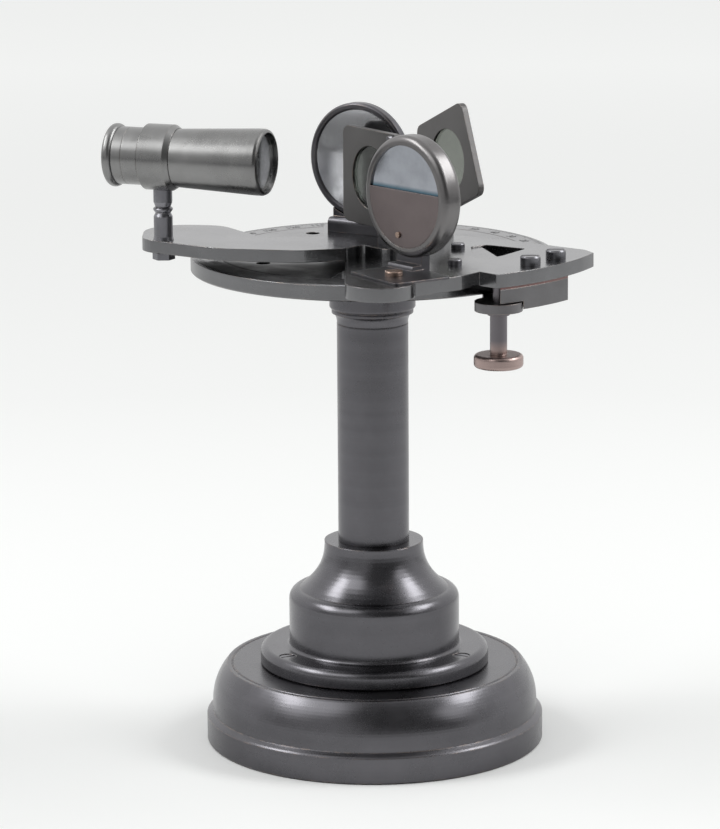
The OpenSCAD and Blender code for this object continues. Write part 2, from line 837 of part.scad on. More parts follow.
// Main tube: straight behind the collar, tapering out to the object glass
module telescope_tube() {
    r = front_d / 2;
    color("dimgray") on_scope() rotate_extrude() polygon([
        [bore_r + fit, sleeve_back], [rear_d / 2, sleeve_back],
        [rear_d / 2, collar_front + collar_chamfer], [tube_waist_r, taper_start],
        [r, taper_end], [r, front_l - tube_lip], [r - collar_bevel, front_l - collar_bevel],
        [r - tube_lip, front_l], [glass_seat_r, front_l], [glass_seat_r, front_l - glass_seat_l],
        [bore_r + fit, front_l - glass_seat_l]
    ]);
}

// Draw tube: the outer sleeve behind the seam and the thin tube that slides in the main tube
module draw_tube() {
    color("dimgray") on_scope() rotate_extrude() polygon([
        [bore_r - draw_wall, ring_back + eye_sink + eye_t],
        [rear_d / 2 - ring_round, ring_back + eye_sink + eye_t],
        [rear_d / 2 - ring_round, ring_front - seat], [rear_d / 2, ring_front],
        [rear_d / 2, sleeve_back - seat], [bore_r, sleeve_back - seat], [bore_r, draw_front],
        [bore_r - draw_wall, draw_front]
    ]);
}

module eyepiece_ring() {
    r = eyepiece_d / 2;
    color("dimgray") on_scope() rotate_extrude() polygon(concat(
        [[rear_d / 2 - ring_round + seat, ring_front - seat]],
        ellipse_arc([r - ring_round, ring_front - ring_round - seat], ring_round, ring_round, 90, 0),
        ellipse_arc([r - ring_round, ring_back + ring_round], ring_round, ring_round, 0, -90),
        [[eye_r - eye_lip, ring_back], [eye_r - eye_edge, ring_back + eye_sink]],
        [[rear_d / 2 - ring_round + seat, ring_back + eye_sink]]
    ));
}

module eyepiece_lens() {
    color("lightcyan") on_scope() translate([0, 0, ring_back + eye_sink])
        cylinder(r = rear_d / 2 - ring_round, h = eye_t - seat);
}

// Object glass: a plano-convex lens just inside the tube's front rim
module objective_lens() {
    face = front_l - glass_sink - glass_bulge;
    r = glass_seat_r - seat;
    color("lightcyan") on_scope() rotate_extrude() polygon(concat(
        [[0, face - glass_t], [r, face - glass_t]],
        ellipse_arc([0, face], r, glass_bulge, 0, 90)
    ));
}

// Foot that the index mirror stands in: a block behind the frame and a low ledge before it
module index_foot() {
    color("dimgray") difference() {
        translate([index_c[0], index_c[1], top_z]) rotate(index_a)
            translate([-index_foot_w / 2, 0, 0]) rotate([90, 0, 90])
                linear_extrude(index_foot_w) polygon(rounded([
                    [-index_ledge, 0, 0], [index_foot_back, 0, 0],
                    [index_foot_back, index_foot_h, index_foot_round], [0, index_foot_h, 0],
                    [0, index_ledge_h, 0], [-index_ledge, index_ledge_h, index_ledge_round]
                ]));
        on_face(index_c, index_z, index_a) translate([0, 0, -index_t - seat])
            cylinder(d = index_d + 2 * seat, h = index_t + 2 * seat);
        translate([0, 0, top_z - eps])
            cylinder(r = pivot_washer_r + gap, h = pivot_washer_t + pivot_head_t + eps + gap);
    }
}

module index_frame() {
    r = index_d / 2;
    edge = index_edge;
    color("dimgray") on_face(index_c, index_z, index_a) rotate_extrude() polygon([
        [0, -index_t], [r - edge, -index_t], [r, -index_t + edge], [r, -edge], [r - edge, 0],
        [r - index_lip + edge, 0], [r - index_lip, -edge], [r - index_lip, -index_sink - index_glass_t],
        [0, -index_sink - index_glass_t]
    ]);
}

module index_glass() {
    color("lightsteelblue") on_face(index_c, index_z, index_a)
        translate([0, 0, -index_sink - index_glass_t])
            cylinder(r = index_d / 2 - index_lip - seat, h = index_glass_t);
}

// Turns a shade about the pivot in its corner
module about_ear(ear, turn) {
    translate(ear) rotate(turn) translate(-ear) children();
}

// Square shade frame with a stepped round seat and the pivot's hole in one corner
module shade_frame(ear) {
    difference() {
        translate([0, 0, -shade_t])
            linear_extrude(shade_t) rounded_square(shade_s, shade_s, shade_corner_r);
        translate([0, 0, -shade_t - eps]) {
            cylinder(d = shade_glass_d, h = shade_t + 2 * eps);
            cylinder(d = shade_glass_d + 2 * shade_seat, h = shade_glass_t + eps);
            translate(ear) cylinder(r = ear_pin_r + fit, h = shade_t + 2 * eps);
        }
    }
}

module shade_glass() {
    translate([0, 0, -shade_t]) cylinder(d = shade_glass_d + 2 * shade_seat - 2 * seat, h = shade_glass_t);
}

// Post behind a shade's corner, with its foot at height foot_y
module shade_post(ear, foot_y) {
    translate([ear[0], 0, -shade_t - seat - shade_post_t]) difference() {
        linear_extrude(shade_post_t) union() {
            translate([0, ear[1]]) circle(d = shade_post_w);
            translate([-shade_post_w / 2, foot_y]) square([shade_post_w, ear[1] - foot_y]);
        }
        translate([0, ear[1], -eps]) cylinder(r = ear_pin_r + seat, h = shade_post_t + 2 * eps);
    }
}

// Pivot screw through a shade's corner into its post
module shade_screw(ear) {
    translate([ear[0], ear[1], seat])
        cheese_screw(shade_screw_r, shade_screw_h, ear_pin_r, shade_t + seat + shade_post_t);
}

module front_shade() {
    color("dimgray") on_face(front_c, front_z, front_a) difference() {
        shade_frame(front_ear);
        translate([shade_s / 2 - shade_pin_inset[0], shade_s / 2 - shade_pin_inset[1], -shade_t - eps])
            cylinder(r = shade_pin_r + seat, h = shade_t + 2 * eps);
    }
}

module front_shade_glass() {
    color("darkseagreen") on_face(front_c, front_z, front_a) shade_glass();
}

module front_shade_pin() {
    color("gainsboro") on_face(front_c, front_z, front_a)
        translate([shade_s / 2 - shade_pin_inset[0], shade_s / 2 - shade_pin_inset[1], -shade_t])
            cylinder(r = shade_pin_r, h = shade_t + shade_pin_l);
}

module front_shade_post() {
    color("gray") on_face(front_c, front_z, front_a) shade_post(front_ear, top_z - front_z);
}

module front_shade_screw() {
    color("gray") on_face(front_c, front_z, front_a) shade_screw(front_ear);
}

module rear_shade() {
    color("dimgray") on_face(rear_c, rear_z, rear_a) about_ear(rear_ear, rear_turn) shade_frame(rear_ear);
}

module rear_shade_glass() {
    color("darkseagreen") on_face(rear_c, rear_z, rear_a) about_ear(rear_ear, rear_turn) shade_glass();
}

module rear_shade_post() {
    color("gray") on_face(rear_c, rear_z, rear_a) shade_post(rear_ear, top_z - rear_z);
}

module rear_shade_screw() {
    color("gray") on_face(rear_c, rear_z, rear_a) shade_screw(rear_ear);
}

base();
base_felt();
column_foot();
foot_screws();
column();
column_collar();
limb_disc();
pivot_screw();
pivot_washer();
index_plate();
plate_screws();
clamp_block();
clamp_felt();
clamp_screws();
clamp_jaw();
thumb_screw();
horizon_foot();
horizon_foot_screw();
horizon_frame();
horizon_glass();
horizon_panel();
horizon_pin();
telescope_arm();
telescope_post();
post_nut();
telescope_collar();
telescope_tube();
draw_tube();
eyepiece_ring();
eyepiece_lens();
objective_lens();
index_foot();
index_frame();
index_glass();
front_shade_post();
front_shade_screw();
front_shade();
front_shade_glass();
front_shade_pin();
rear_shade_post();
rear_shade_screw();
rear_shade();
rear_shade_glass();
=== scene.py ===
# %% [markdown]
# # A small sextant on a turned pedestal
# This notebook dresses a finished CAD model. The solids are already the right shape and
# stand in the right place, so the work here is light, metal, glass and fine engraving.
# The first cell loads the model and keeps its outer size.

import math

import bmesh
import bpy
from mathutils import Matrix, Quaternion, Vector


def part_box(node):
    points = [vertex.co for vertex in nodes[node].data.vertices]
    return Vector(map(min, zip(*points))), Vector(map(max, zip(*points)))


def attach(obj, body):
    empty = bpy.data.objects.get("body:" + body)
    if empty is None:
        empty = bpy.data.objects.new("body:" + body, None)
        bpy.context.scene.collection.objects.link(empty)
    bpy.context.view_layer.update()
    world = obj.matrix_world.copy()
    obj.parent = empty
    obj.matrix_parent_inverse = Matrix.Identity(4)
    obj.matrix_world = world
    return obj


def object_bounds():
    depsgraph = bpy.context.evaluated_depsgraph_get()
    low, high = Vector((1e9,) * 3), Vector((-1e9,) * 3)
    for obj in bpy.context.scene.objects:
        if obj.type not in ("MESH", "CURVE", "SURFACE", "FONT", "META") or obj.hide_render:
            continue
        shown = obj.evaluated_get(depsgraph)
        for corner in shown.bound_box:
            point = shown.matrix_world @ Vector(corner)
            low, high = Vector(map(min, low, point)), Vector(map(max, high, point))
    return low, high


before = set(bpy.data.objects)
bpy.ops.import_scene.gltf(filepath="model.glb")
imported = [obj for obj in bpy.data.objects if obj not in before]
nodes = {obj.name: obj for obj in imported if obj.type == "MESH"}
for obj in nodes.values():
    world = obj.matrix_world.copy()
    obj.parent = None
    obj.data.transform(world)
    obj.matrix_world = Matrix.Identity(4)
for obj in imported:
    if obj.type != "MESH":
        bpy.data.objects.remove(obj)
cad_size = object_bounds()
MM = 0.001
DISC_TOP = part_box("limb_disc")[1][2]
lowest, highest = ([round(v, 4) for v in corner] for corner in cad_size)
print(len(nodes), "solids, from", lowest, "to", highest)

# %% [markdown]
# ## The camera
# The picture was taken from in front, a little above, with a long lens. A long lens far away
# keeps the circles of the base and the disc almost alike, so it has to be matched closely.
# Its values were found by laying the outlines of the model over those of the picture.
# The three numbers of its turn are pitch (down), yaw (left) and roll (tilt of the horizon).

# %% Camera
PICTURE_WIDTH = 720
FOCAL_PIXELS = 3993.43
CAMERA_PLACE = (0, -1.10007, 0.33962)
CAMERA_TURN = (12.585, -0.1923, -0.3741)


def aim(pitch, yaw, roll):
    p, y, t = (math.radians(v) for v in (pitch, yaw, roll))
    forward = Vector((math.sin(y) * math.cos(p), math.cos(y) * math.cos(p), -math.sin(p)))
    right = Vector((math.cos(y), -math.sin(y), 0))
    up = right.cross(forward)
    tilted_right = math.cos(t) * right + math.sin(t) * up
    tilted_up = -math.sin(t) * right + math.cos(t) * up
    return Matrix((tilted_right, tilted_up, -forward)).transposed().to_4x4()


scene = bpy.context.scene
lens_data = bpy.data.cameras.new("camera")
lens_data.sensor_fit = "HORIZONTAL"
lens_data.sensor_width = 36
lens_data.lens = FOCAL_PIXELS * lens_data.sensor_width / PICTURE_WIDTH
lens_data.clip_start = 0.05
camera = bpy.data.objects.new("camera", lens_data)
camera.matrix_world = Matrix.Translation(CAMERA_PLACE) @ aim(*CAMERA_TURN)
scene.collection.objects.link(camera)
scene.camera = camera
scene.view_settings.view_transform = "Standard"
print("lens", round(lens_data.lens, 2), "mm at", [round(v, 3) for v in camera.location])

# %% [markdown]
# ## A small kit for shader nodes
# A material is a tree of nodes. These helpers add one node and link sockets, so that each
# finish below reads as a short recipe. A socket can be set to a plain value or linked.

# %% Node helpers
def add(tree, kind, label="", **values):
    node = tree.nodes.new(kind)
    node.label = label
    for name, value in values.items():
        setattr(node, name, value)
    return node


def feed(tree, node, **sockets):
    """Set or link sockets, by name or by place: i0 is the first, i1 the second."""
    for name, value in sockets.items():
        by_place = name[0] == "i" and name[1:].isdigit()
        socket = node.inputs[int(name[1:]) if by_place else name.replace("_", " ")]
        if isinstance(value, bpy.types.NodeSocket):
            tree.links.new(value, socket)
        else:
            socket.default_value = value
    return node


def sum_of(tree, operation, a, b=0.0, c=0.0, clamp=False):
    """One step of arithmetic between values or sockets."""
    node = add(tree, "ShaderNodeMath", operation=operation, use_clamp=clamp)
    feed(tree, node, i0=a, i1=b, i2=c)
    return node.outputs[0]


def blend_of(tree, share, a, b):
    """Colour a where share is 0 and colour b where it is 1."""
    node = add(tree, "ShaderNodeMix", data_type="RGBA")
    feed(tree, node, i0=share, i6=a, i7=b)
    return node.outputs[2]


def spread(tree, value, low, high, to_low=0.0, to_high=1.0):
    """Stretch the part of a value from low to high over another range."""
    node = add(tree, "ShaderNodeMapRange")
    feed(tree, node, Value=value, From_Min=low, From_Max=high, To_Min=to_low, To_Max=to_high)
    return node.outputs[0]


def new_group(name, inputs, outputs):
    group = bpy.data.node_groups.new(name, "ShaderNodeTree")
    for socket, kind, value in inputs:
        made = group.interface.new_socket(name=socket, in_out="INPUT", socket_type=kind)
        if value is not None:
            made.default_value = value
    for socket, kind in outputs:
        group.interface.new_socket(name=socket, in_out="OUTPUT", socket_type=kind)
    start, end = group.nodes.new("NodeGroupInput"), group.nodes.new("NodeGroupOutput")
    return group, start, end


def use_group(tree, group, **sockets):
    node = add(tree, "ShaderNodeGroup", node_tree=group)
    return feed(tree, node, **sockets)


FLOAT, VECTOR = "NodeSocketFloat", "NodeSocketVector"
print("helpers:", [f.__name__ for f in (add, feed, sum_of, blend_of, spread, new_group, use_group)])

# %% [markdown]
# ## Shared effect: lathe marks
# The base, the bell, the column and the telescope were turned on a lathe, which leaves rings
# that run round the axis. A noise that only knows the distance from the axis and the height
# along it is the same all the way round, so it draws rings on walls and on flat faces alike.

# %% Lathe marks group
BANDS_PER_METRE = 220.0

lathe_marks, start, end = new_group(
    "lathe marks",
    [("Position", VECTOR, None), ("Rings per mm", FLOAT, 4.0)],
    [("Height", FLOAT), ("Tone", FLOAT)],
)
parts = add(lathe_marks, "ShaderNodeSeparateXYZ")
feed(lathe_marks, parts, i0=start.outputs["Position"])
across = sum_of(lathe_marks, "POWER", parts.outputs[0], 2.0)
away = sum_of(lathe_marks, "POWER", parts.outputs[1], 2.0)
radius = sum_of(lathe_marks, "SQRT", sum_of(lathe_marks, "ADD", across, away))
ring_place = add(lathe_marks, "ShaderNodeCombineXYZ")
feed(lathe_marks, ring_place, X=radius, Y=parts.outputs[2])
per_metre = sum_of(lathe_marks, "MULTIPLY", start.outputs["Rings per mm"], 1000.0)
rings = add(lathe_marks, "ShaderNodeTexNoise")
feed(lathe_marks, rings, Vector=ring_place.outputs[0], Scale=per_metre, Detail=2.0)
slow = add(lathe_marks, "ShaderNodeTexNoise")
feed(lathe_marks, slow, Vector=ring_place.outputs[0], Scale=BANDS_PER_METRE, Detail=3.0)
lathe_marks.links.new(rings.outputs[0], end.inputs["Height"])
lathe_marks.links.new(slow.outputs[0], end.inputs["Tone"])
print("group made:", lathe_marks.name)

# %% [markdown]
# ## Shared effect: file grain
# The flat plates were filed and papered by hand along one direction. Stretching a noise
# fifty times along one axis turns its dots into fine hairlines.

# %% File grain group
ALONG_HAIRS, ACROSS_HAIRS = 20.0, 1000.0
PATCHES_PER_METRE = 70.0

file_grain, start, end = new_group(
    "file grain",
    [("Position", VECTOR, None), ("Direction", FLOAT, 0.0), ("Lines per mm", FLOAT, 6.0)],
    [("Height", FLOAT), ("Tone", FLOAT)],
)
turn = add(file_grain, "ShaderNodeVectorRotate", rotation_type="Z_AXIS")
feed(file_grain, turn, Vector=start.outputs["Position"], Angle=start.outputs["Direction"])
narrow = add(file_grain, "ShaderNodeVectorMath", operation="MULTIPLY")
feed(file_grain, narrow, i0=turn.outputs[0], i1=(ALONG_HAIRS, ACROSS_HAIRS, ACROSS_HAIRS))
hairs = add(file_grain, "ShaderNodeTexNoise")
feed(file_grain, hairs, Vector=narrow.outputs[0], Scale=start.outputs["Lines per mm"], Detail=2.0)
patches = add(file_grain, "ShaderNodeTexNoise")
feed(file_grain, patches, Vector=turn.outputs[0], Scale=PATCHES_PER_METRE, Detail=4.0)
file_grain.links.new(hairs.outputs[0], end.inputs["Height"])
file_grain.links.new(patches.outputs[0], end.inputs["Tone"])
print("group made:", file_grain.name)

# %% [markdown]
# ## Shared effect: handled plating
# The dark plating is not even. It is cloudy where fingers have polished it, it carries a
# little dust in specks, and on sharp edges it is worn through to the brown bronze below.
# The Bevel node gives the normal that a rounded edge would have; where that differs from
# the true normal there is an edge, and a noise breaks the worn line into short stretches.
# The same rounded normal, handed on, lets every sharp edge catch a thin line of light.

# %% Handled plating group
SPECKS_PER_METRE = 2600.0
WORN_SPOTS_PER_METRE = 420.0
ALMOST_FLAT, SHARP = 0.995, 0.90

plating, start, end = new_group(
    "handled plating",
    [
        ("Position", VECTOR, None),
        ("Cloud size mm", FLOAT, 14.0),
        ("Edge mm", FLOAT, 0.35),
        ("Wear", FLOAT, 0.5),
    ],
    [("Clouds", FLOAT), ("Specks", FLOAT), ("Worn edge", FLOAT), ("Soft normal", VECTOR)],
)
place = start.outputs["Position"]
cloud_scale = sum_of(plating, "DIVIDE", 1000.0, start.outputs["Cloud size mm"])
clouds = add(plating, "ShaderNodeTexNoise")
feed(plating, clouds, Vector=place, Scale=cloud_scale, Detail=5.0, Roughness=0.6)
dots = add(plating, "ShaderNodeTexNoise")
feed(plating, dots, Vector=place, Scale=SPECKS_PER_METRE, Detail=1.0)
edge_radius = sum_of(plating, "MULTIPLY", start.outputs["Edge mm"], 0.001)
rounded_edge = add(plating, "ShaderNodeBevel", samples=4)
feed(plating, rounded_edge, Radius=edge_radius)
surface = add(plating, "ShaderNodeNewGeometry")
alike = add(plating, "ShaderNodeVectorMath", operation="DOT_PRODUCT")
feed(plating, alike, i0=rounded_edge.outputs[0], i1=surface.outputs["Normal"])
edge = spread(plating, alike.outputs["Value"], ALMOST_FLAT, SHARP)
broken = add(plating, "ShaderNodeTexNoise")
feed(plating, broken, Vector=place, Scale=WORN_SPOTS_PER_METRE, Detail=4.0)
patchy = spread(plating, broken.outputs[0], 0.42, 0.62)
broken_line = sum_of(plating, "MULTIPLY", edge, patchy)
worn = sum_of(plating, "MULTIPLY", broken_line, start.outputs["Wear"], clamp=True)
plating.links.new(clouds.outputs[0], end.inputs["Clouds"])
plating.links.new(spread(plating, dots.outputs[0], 0.66, 0.74), end.inputs["Specks"])
plating.links.new(worn, end.inputs["Worn edge"])
plating.links.new(rounded_edge.outputs[0], end.inputs["Soft normal"])
print("group made:", plating.name)

# %% [markdown]
# ## Shared effect: painted shade under the arm
# In the front, on the side of the telescope, the top of the disc lies under the arm. That shade
# is painted onto it as a dull near-black patch that stops being metal, and its border is broken
# up by a noise. Height keeps the painted shade off the rim.

# %% Painted shade group
SHADE_SPOTS_PER_METRE = 160.0
RAGGED_BY = 6 * MM

painted_arm_shade, start, end = new_group("painted arm shade", [("Position", VECTOR, None)], [("Painted shade", FLOAT)])
spots = add(painted_arm_shade, "ShaderNodeTexNoise")
feed(painted_arm_shade, spots, Vector=start.outputs["Position"], Scale=SHADE_SPOTS_PER_METRE, Detail=4.0)
parts = add(painted_arm_shade, "ShaderNodeSeparateXYZ")
feed(painted_arm_shade, parts, i0=start.outputs["Position"])
ragged = sum_of(painted_arm_shade, "MULTIPLY", spots.outputs[0], RAGGED_BY)
in_front = spread(painted_arm_shade, sum_of(painted_arm_shade, "ADD", parts.outputs[1], ragged), -9 * MM, -17 * MM)
to_left = spread(painted_arm_shade, sum_of(painted_arm_shade, "ADD", parts.outputs[0], ragged), 22 * MM, 10 * MM)
on_top = spread(painted_arm_shade, parts.outputs[2], DISC_TOP - 0.2 * MM, DISC_TOP - 0.1 * MM)
thickness = spread(painted_arm_shade, spots.outputs[0], 0.30, 0.55, 0.72, 0.97)
corner = sum_of(painted_arm_shade, "MULTIPLY", in_front, to_left)
# Painted shade: this mask darkens the disc's top in front, under the telescope arm.
painted_shade_there = sum_of(painted_arm_shade, "MULTIPLY", corner, sum_of(painted_arm_shade, "MULTIPLY", on_top, thickness))
painted_arm_shade.links.new(painted_shade_there, end.inputs["Painted shade"])
print("group made:", painted_arm_shade.name)

# %% [markdown]
# ## The plated metal
# One recipe makes every plated finish. Metal has no colour of its own but that of its
# reflections, so a dark metal is one with a low Base Color. The clouds move its roughness,
# the marks of the tool move its normal, and the worn edges uncover the bronze.

# %% Plated metal recipe
BRONZE = (0.40, 0.30, 0.235, 1)
# Near black of the painted shade on the disc under the arm.
PAINTED_SHADE_BLACK = (0.012, 0.012, 0.013, 1)
BUMP_DEPTH = 0.03 * MM
LESS, MORE = 0.86, 1.16
DUST_ROUGHNESS = 0.08
PAINTED_SHADE_ROUGHNESS = 0.35


def place_of(tree, centre=(0, 0, 0), along=None):
    """Object position, or position along a piece's own axis."""
    where = add(tree, "ShaderNodeTexCoord").outputs["Object"]
    if along is None and centre == (0, 0, 0):
        return where
    moved = add(tree, "ShaderNodeVectorMath", operation="SUBTRACT")
    feed(tree, moved, i0=where, i1=centre)
    if along is None:
        return moved.outputs[0]
    spin = Vector(along).rotation_difference(Vector((0, 0, 1))).to_euler()
    turned = add(tree, "ShaderNodeVectorRotate", rotation_type="EULER_XYZ")
    feed(tree, turned, Vector=moved.outputs[0], Rotation=tuple(spin))
    return turned.outputs[0]


def plated(
    name, colour, roughness, marks, depth=0.3, wear=0.5, edge=0.35,
    shade_paint=None, bands=0.4, shaded_above=None, centre=(0, 0, 0), along=None, **mark_values
):
    """A metal. An optional height and colour paint the piece that colour over that height: painted
    shade.
    """
    made = bpy.data.materials.new(name)
    made.use_nodes = True
    tree = made.node_tree
    shader = tree.nodes["Principled BSDF"]
    where = place_of(tree, centre, along)
    tool = use_group(tree, marks, Position=where, **mark_values)
    skin = use_group(tree, plating, Position=where, Wear=wear, Edge_mm=edge)
    dark = tuple(c * LESS for c in colour) + (1,)
    light = tuple(min(1, c * MORE) for c in colour) + (1,)
    cloudy = sum_of(tree, "MULTIPLY", skin.outputs["Clouds"], 1 - bands)
    banded = sum_of(tree, "MULTIPLY", tool.outputs["Tone"], bands)
    tone = sum_of(tree, "ADD", cloudy, banded)
    base = blend_of(tree, spread(tree, tone, 0.33, 0.67), dark, light)
    # Painted shade: over the given height the colour turns darker, as on the thumb screw's shank.
    if shaded_above:
        height, painted_shade_colour = shaded_above
        parts = add(tree, "ShaderNodeSeparateXYZ")
        feed(tree, parts, i0=where)
        over = spread(tree, parts.outputs[2], height, height + 3 * MM)
        base = blend_of(tree, over, base, painted_shade_colour + (1,))
    base = blend_of(tree, skin.outputs["Worn edge"], base, BRONZE)
    smoothest, roughest = roughness * LESS, roughness * MORE
    smooth = spread(tree, skin.outputs["Clouds"], 0.35, 0.65, smoothest, roughest)
    dusty = sum_of(tree, "MULTIPLY", skin.outputs["Specks"], DUST_ROUGHNESS)
    rough = sum_of(tree, "ADD", smooth, dusty, clamp=True)
    bare = 1.0
    # Painted shade: where the mask says, the colour turns near black, duller and no longer metal.
    if shade_paint:
        shade_cover = use_group(tree, shade_paint, Position=where).outputs["Painted shade"]
        base = blend_of(tree, shade_cover, base, PAINTED_SHADE_BLACK)
        dull = sum_of(tree, "MULTIPLY", shade_cover, PAINTED_SHADE_ROUGHNESS)
        rough = sum_of(tree, "ADD", rough, dull, clamp=True)
        bare = sum_of(tree, "SUBTRACT", 1.0, shade_cover, clamp=True)
    bump = add(tree, "ShaderNodeBump")
    feed(tree, bump, Strength=depth, Distance=BUMP_DEPTH, Height=tool.outputs["Height"])
    feed(tree, bump, Normal=skin.outputs["Soft normal"])
    feed(tree, shader, Base_Color=base, Metallic=bare, Roughness=rough, Normal=bump.outputs[0])
    return made


print("recipe for plated metal, with bronze", BRONZE[:3], "under it")

# %% [markdown]
# ## Finishes of the stand
# The stand is one family of dark turned pieces. The base is the most handled, so it is the
# most worn at its edges. The bell is the best polished, which a lower roughness gives.

# %% Stand metals
GUNMETAL = (0.120, 0.118, 0.127)
turned_dark = plated(
    "turned gunmetal", GUNMETAL, 0.29, lathe_marks, wear=0.30, edge=0.6, Rings_per_mm=3.5
)
bell_dark = plated(
    "bell gunmetal", GUNMETAL, 0.24, lathe_marks, depth=0.06, wear=0.30, edge=0.6, Rings_per_mm=3.5
)
base_dark = plated(
    "base gunmetal", GUNMETAL, 0.27, lathe_marks, depth=0.08, wear=0.45, edge=0.5, Rings_per_mm=2.5
)
print("metals of the stand:", [m.name for m in (turned_dark, bell_dark, base_dark)])

# %% [markdown]
# ## Finishes of the plates
# Disc, index plate and arm are one lighter metal, but the disc was turned and the two plates
# were filed, each along its own length. The clamp and the feet of the mirrors are milled and
# duller, and the frames of the shades are satin. The jaw of the clamp, under the disc, gets a
# lighter copy of the clamp's colour: painted light. The disc carries painted shade under the arm.

# %% Plate metals
PLATE = (0.186, 0.187, 0.192)
CLAMP = (0.165, 0.163, 0.167)
# Painted light: a lighter copy of the clamp's colour for the jaw, which renders too dark under the
# disc.
LIT_JAW = (0.180, 0.175, 0.180)
SATIN = (0.124, 0.121, 0.120)
# Painted shade: the front of the disc's top, under the telescope arm, is painted darker.
disc_metal = plated(
    "disc gunmetal", PLATE, 0.24, lathe_marks, depth=0.15, wear=0.35,
    shade_paint=painted_arm_shade, Rings_per_mm=5.0
)
index_metal = plated(
    "index plate gunmetal", PLATE, 0.21, file_grain, depth=0.2, wear=0.22,
    Direction=0.9, Lines_per_mm=6.0
)
arm_metal = plated(
    "telescope arm gunmetal", PLATE, 0.21, file_grain, depth=0.2, wear=0.45,
    Direction=-0.2, Lines_per_mm=6.0
)
clamp_dark = plated("clamp gunmetal", CLAMP, 0.32, file_grain, Direction=0.5, Lines_per_mm=8.0)
# The clamp jaw's metal uses the lighter copy of the clamp colour: painted light.
painted_light_jaw = plated("clamp jaw gunmetal", LIT_JAW, 0.36, file_grain, Direction=0.5, Lines_per_mm=8.0)
milled_dark = plated(
    "milled gunmetal", GUNMETAL, 0.34, file_grain, Direction=0.5, Lines_per_mm=8.0
)
shade_metal = plated(
    "shade frame metal", SATIN, 0.36, file_grain, wear=0.40, Direction=0.4, Lines_per_mm=8.0
)
plate_metals = (disc_metal, index_metal, arm_metal)
milled_metals = (clamp_dark, painted_light_jaw, milled_dark, shade_metal)
print("metals of the plates:", [m.name for m in plate_metals + milled_metals])

# %% [markdown]
# ## Finishes that follow another axis
# The telescope lies on its side, so its lathe marks run round its own axis. The recipe
# takes a centre and a direction for that. Its axis is level, and its right end is turned 20
# degrees toward the camera.

# %% Telescope metal
tube_low, tube_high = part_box("telescope_tube")
scope_centre = tuple((tube_low[i] + tube_high[i]) / 2 for i in range(3))
SCOPE_TURN = math.radians(-20)
scope_axis = (math.cos(SCOPE_TURN), math.sin(SCOPE_TURN), 0)
SCOPE = (0.230, 0.230, 0.228)
scope_dark = plated(
    "telescope gunmetal", SCOPE, 0.28, lathe_marks, depth=0.1, wear=0.20, bands=0.12,
    centre=scope_centre, along=scope_axis, Rings_per_mm=3.0
)
print("telescope centre", [round(v, 4) for v in scope_centre])

# %% [markdown]
# ## Frames of the mirrors
# Each mirror frame is a turned dish that stands on its edge. Its axis is level, and turned by
# the angle at which the mirror faces, counted from the near side.

# %% Mirror frame metal
HORIZON_FRAME = (0.170, 0.165, 0.165)


def frame_metal(name, node, degrees, colour):
    low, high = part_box(node)
    centre = tuple((low[i] + high[i]) / 2 for i in range(3))
    along = (math.sin(math.radians(degrees)), -math.cos(math.radians(degrees)), 0)
    return plated(
        name, colour, 0.29, lathe_marks, depth=0.08, wear=0.3,
        centre=centre, along=along, Rings_per_mm=3.0
    )


horizon_dark = frame_metal("horizon frame gunmetal", "horizon_frame", -49, HORIZON_FRAME)
index_dark = frame_metal("index frame gunmetal", "index_frame", -34, GUNMETAL)
print("frame metals:", horizon_dark.name, "and", index_dark.name)

# %% [markdown]
# ## Screws, bronze and lacquer
# Small screws are blued steel with a worn rim. The thumb screw and the panel in the horizon
# mirror are brown: bronze under a thin lacquer, which the same recipe gives with another
# colour. The thumb screw's shank, above its head, is painted darker than the head: painted
# shade for the shadow it stands in between the jaw and the plate.

# %% Small metals
SCREW = (0.20, 0.20, 0.215)
BRASS = (0.37, 0.275, 0.225)
THUMB = (0.37, 0.285, 0.265)
# Painted shade on the thumb screw's shank, over its head.
SHADED_SHANK = (0.165, 0.155, 0.165)
PANEL = (0.172, 0.146, 0.145)
THUMB_HEAD_HEIGHT = 4.5 * MM
screw_metal = plated(
    "blued screw steel", SCREW, 0.30, lathe_marks, depth=0.1, wear=0.4, edge=0.2, Rings_per_mm=6.0
)
brass_metal = plated(
    "plain brass screw", BRASS, 0.32, lathe_marks, depth=0.1, wear=0.3, Rings_per_mm=6.0
)
thumb_low, thumb_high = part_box("thumb_screw")
thumb_centre = ((thumb_low[0] + thumb_high[0]) / 2, (thumb_low[1] + thumb_high[1]) / 2, 0)
thumb_metal = plated(
    "thumb screw bronze", THUMB, 0.30, lathe_marks, wear=0.7,
    shaded_above=(thumb_low[2] + THUMB_HEAD_HEIGHT, SHADED_SHANK), centre=thumb_centre, Rings_per_mm=4.0
)
panel_metal = plated(
    "brown lacquered panel", PANEL, 0.36, file_grain, wear=0.2, Direction=0.2, Lines_per_mm=5.0
)
print("small metals:", [m.name for m in (screw_metal, brass_metal, thumb_metal, panel_metal)])

# %% [markdown]
# ## Mirrors and lenses
# A mirror is metal at a low roughness, with a faint haze of old silver. The horizon mirror
# is only half silvered, so it reflects less than half, and along its cut edge the bare glass
# shows blue. A lens is true glass: plain Transmission Weight and index of refraction, with
# faint smears in its roughness.

# %% Glass recipes
CUT_BLUE = (0.10, 0.165, 0.21, 1)
FADE = 1.0 * MM


